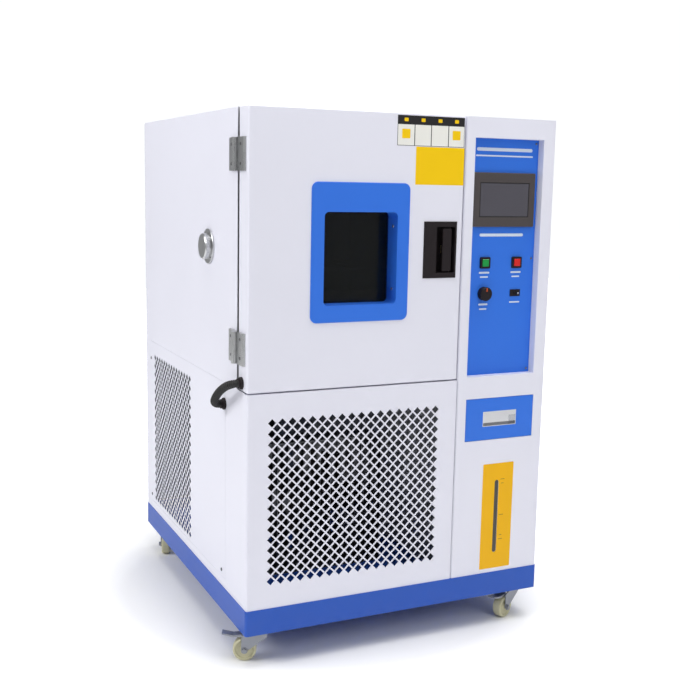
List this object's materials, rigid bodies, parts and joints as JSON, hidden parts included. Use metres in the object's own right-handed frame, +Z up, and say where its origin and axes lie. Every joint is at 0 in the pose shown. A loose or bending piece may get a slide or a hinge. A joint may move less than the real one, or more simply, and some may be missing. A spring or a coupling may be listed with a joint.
{
  "type": "environmental test chamber",
  "caption": "Free-standing temperature and humidity test chamber on casters: hinged door with window, flush latch, side cable port, touch screen, water drawer and diamond grilles.",
  "frame": {"origin": "floor level below the middle of the outline", "axes": "+Z up, -Y the front with the door and the control column, +X to the right as seen from the front"},
  "size_m": [0.9494, 1.005, 1.44],
  "materials": {
    "blue_paint": "satin",
    "light_blue_paint": "satin",
    "white_paint": "satin",
    "grey_paint": "satin",
    "black_paint": "satin",
    "stainless": "brushed",
    "zinc_steel": "satin",
    "chrome": "polished",
    "aluminium": "satin",
    "foam": "matte",
    "seal_rubber": "matte",
    "black_plastic": "matte",
    "bezel_plastic": "matte",
    "green_plastic": "gloss",
    "red_plastic": "gloss",
    "yellow_plastic": "gloss",
    "white_plastic": "gloss",
    "wheel_plastic": "matte",
    "clear_glass": "clear",
    "screen_glass": "clear"
  },
  "bodies": {
    "cabinet": {"air_baffle": "stainless", "base_frame": "blue_paint", "caster_plates": "zinc_steel", "chamber_shell": "zinc_steel", "compressor": "black_paint", "condenser": "aluminium", "conduit": "black_plastic", "conduit_cabinet_gland": "black_plastic", "control_column": "white_paint", "control_panel": "light_blue_paint", "drawer_guides": "zinc_steel", "evaporator": "aluminium", "fan_motor": "black_paint", "front_lower_panel": "white_paint", "hinge_cabinet_leaves": "stainless", "hmi_glass": "screen_glass", "hmi_housing": "bezel_plastic", "inner_liner": "stainless", "insulation": "foam", "left_machine_panel": "white_paint", "left_side_wall": "white_paint", "partition_plate": "grey_paint", "port_flange": "stainless", "rear_cover": "zinc_steel", "right_side_wall": "white_paint", "shelf": "stainless", "sight_tube": "yellow_plastic", "switch_bezels": "black_plastic", "top_cover": "white_paint", "water_tank": "white_plastic"},
    "door": {"door_shell": "white_paint", "door_inner_panel": "stainless", "door_insulation": "foam", "window_frame": "light_blue_paint", "window_glass": "clear_glass", "door_gasket": "seal_rubber", "latch_housing": "black_plastic", "hinge_door_leaves": "stainless", "conduit_door_gland": "black_plastic"},
    "latch_paddle": {"latch_paddle": "black_plastic"},
    "latch_bolt": {"latch_bolt": "zinc_steel"},
    "port_plug": {"port_plug": "stainless"},
    "start_button": {"start_button": "green_plastic"},
    "stop_button": {"stop_button": "red_plastic"},
    "limit_dial": {"limit_dial": "black_plastic"},
    "toggle_switch": {"toggle_switch": "chrome"},
    "water_drawer": {"water_drawer": "light_blue_paint", "drawer_pull": "chrome"},
    "circulation_fan": {"circulation_fan": "aluminium"},
    "condenser_fan": {"condenser_fan": "black_plastic"},
    "caster_fork_front_left": {"caster_fork_front_left": "zinc_steel"},
    "caster_wheel_front_left": {"caster_wheel_front_left": "wheel_plastic"},
    "caster_fork_front_right": {"caster_fork_front_right": "zinc_steel"},
    "caster_wheel_front_right": {"caster_wheel_front_right": "wheel_plastic"},
    "caster_fork_rear_left": {"caster_fork_rear_left": "zinc_steel"},
    "caster_wheel_rear_left": {"caster_wheel_rear_left": "wheel_plastic"},
    "caster_fork_rear_right": {"caster_fork_rear_right": "zinc_steel"},
    "caster_wheel_rear_right": {"caster_wheel_rear_right": "wheel_plastic"},
    "brake_pedal_front_left": {"brake_pedal_front_left": "zinc_steel"},
    "brake_pedal_front_right": {"brake_pedal_front_right": "zinc_steel"}
  },
  "joints": [
    {"name": "door_hinge", "type": "hinge", "parent": "cabinet", "child": "door", "pos_m": [-0.437, -0.429, 1.08675], "axis": [0, 0, -1], "range_deg": [0, 120], "deforming": ["conduit"]},
    {"name": "latch_pull", "type": "hinge", "parent": "door", "child": "latch_paddle", "pos_m": [0.143, -0.4955, 1.088], "axis": [0, 0, 1], "range_deg": [0, 35]},
    {"name": "latch_bolt_slide", "type": "slide", "parent": "door", "child": "latch_bolt", "axis": [-1, 0, 0], "range_m": [0, 0.008]},
    {"name": "port_plug_slide", "type": "slide", "parent": "cabinet", "child": "port_plug", "axis": [-1, 0, 0], "range_m": [0, 0.07]},
    {"name": "start_press", "type": "slide", "parent": "cabinet", "child": "start_button", "axis": [0, 1, 0], "range_m": [0, 0.003], "stiffness_N_per_m": 400},
    {"name": "stop_press", "type": "slide", "parent": "cabinet", "child": "stop_button", "axis": [0, 1, 0], "range_m": [0, 0.003], "stiffness_N_per_m": 400},
    {"name": "limit_turn", "type": "hinge", "parent": "cabinet", "child": "limit_dial", "pos_m": [0.27125, -0.475, 0.964], "axis": [0, 1, 0], "range_deg": [-140, 140]},
    {"name": "toggle_tilt", "type": "hinge", "parent": "cabinet", "child": "toggle_switch", "pos_m": [0.37475, -0.4793, 0.964], "axis": [1, 0, 0], "range_deg": [-15, 15]},
    {"name": "drawer_slide", "type": "slide", "parent": "cabinet", "child": "water_drawer", "axis": [0, -1, 0], "range_m": [0, 0.2]},
    {"name": "circulation_spin", "type": "hinge", "parent": "cabinet", "child": "circulation_fan", "pos_m": [-0.12325, 0.028, 1.08675], "axis": [0, 1, 0], "continuous": true},
    {"name": "condenser_spin", "type": "hinge", "parent": "cabinet", "child": "condenser_fan", "pos_m": [-0.1475, -0.225, 0.35], "axis": [0, 1, 0], "continuous": true},
    {"name": "caster_swivel_front_left", "type": "hinge", "parent": "cabinet", "child": "caster_fork_front_left", "pos_m": [-0.3755, -0.448, 0.07], "axis": [0, 0, 1], "continuous": true},
    {"name": "caster_roll_front_left", "type": "hinge", "parent": "caster_fork_front_left", "child": "caster_wheel_front_left", "pos_m": [-0.4068, -0.43472, 0.0315], "axis": [0.3907, 0.9205, 0], "continuous": true},
    {"name": "brake_front_left", "type": "hinge", "parent": "caster_fork_front_left", "child": "brake_pedal_front_left", "pos_m": [-0.40864, -0.43393, 0.07], "axis": [0.3907, 0.9205, 0], "range_deg": [0, 15]},
    {"name": "caster_swivel_front_right", "type": "hinge", "parent": "cabinet", "child": "caster_fork_front_right", "pos_m": [0.4205, -0.448, 0.07], "axis": [0, 0, 1], "continuous": true},
    {"name": "caster_roll_front_right", "type": "hinge", "parent": "caster_fork_front_right", "child": "caster_wheel_front_right", "pos_m": [0.3892, -0.46128, 0.0315], "axis": [-0.3907, 0.9205, 0], "continuous": true},
    {"name": "brake_front_right", "type": "hinge", "parent": "caster_fork_front_right", "child": "brake_pedal_front_right", "pos_m": [0.38736, -0.46207, 0.07], "axis": [-0.3907, 0.9205, 0], "range_deg": [0, 15]},
    {"name": "caster_swivel_rear_left", "type": "hinge", "parent": "cabinet", "child": "caster_fork_rear_left", "pos_m": [-0.3755, 0.448, 0.07], "axis": [0, 0, 1], "continuous": true},
    {"name": "caster_roll_rear_left", "type": "hinge", "parent": "caster_fork_rear_left", "child": "caster_wheel_rear_left", "pos_m": [-0.38713, 0.41605, 0.0315], "axis": [-0.9397, 0.342, 0], "continuous": true},
    {"name": "caster_swivel_rear_right", "type": "hinge", "parent": "cabinet", "child": "caster_fork_rear_right", "pos_m": [0.4205, 0.448, 0.07], "axis": [0, 0, 1], "continuous": true},
    {"name": "caster_roll_rear_right", "type": "hinge", "parent": "caster_fork_rear_right", "child": "caster_wheel_rear_right", "pos_m": [0.43487, 0.41719, 0.0315], "axis": [-0.9063, -0.4226, 0], "continuous": true}
  ],
  "couplings": [
    {"joint": "latch_bolt_slide", "follows": "latch_pull", "m_per_rad": 0.013}
  ]
}
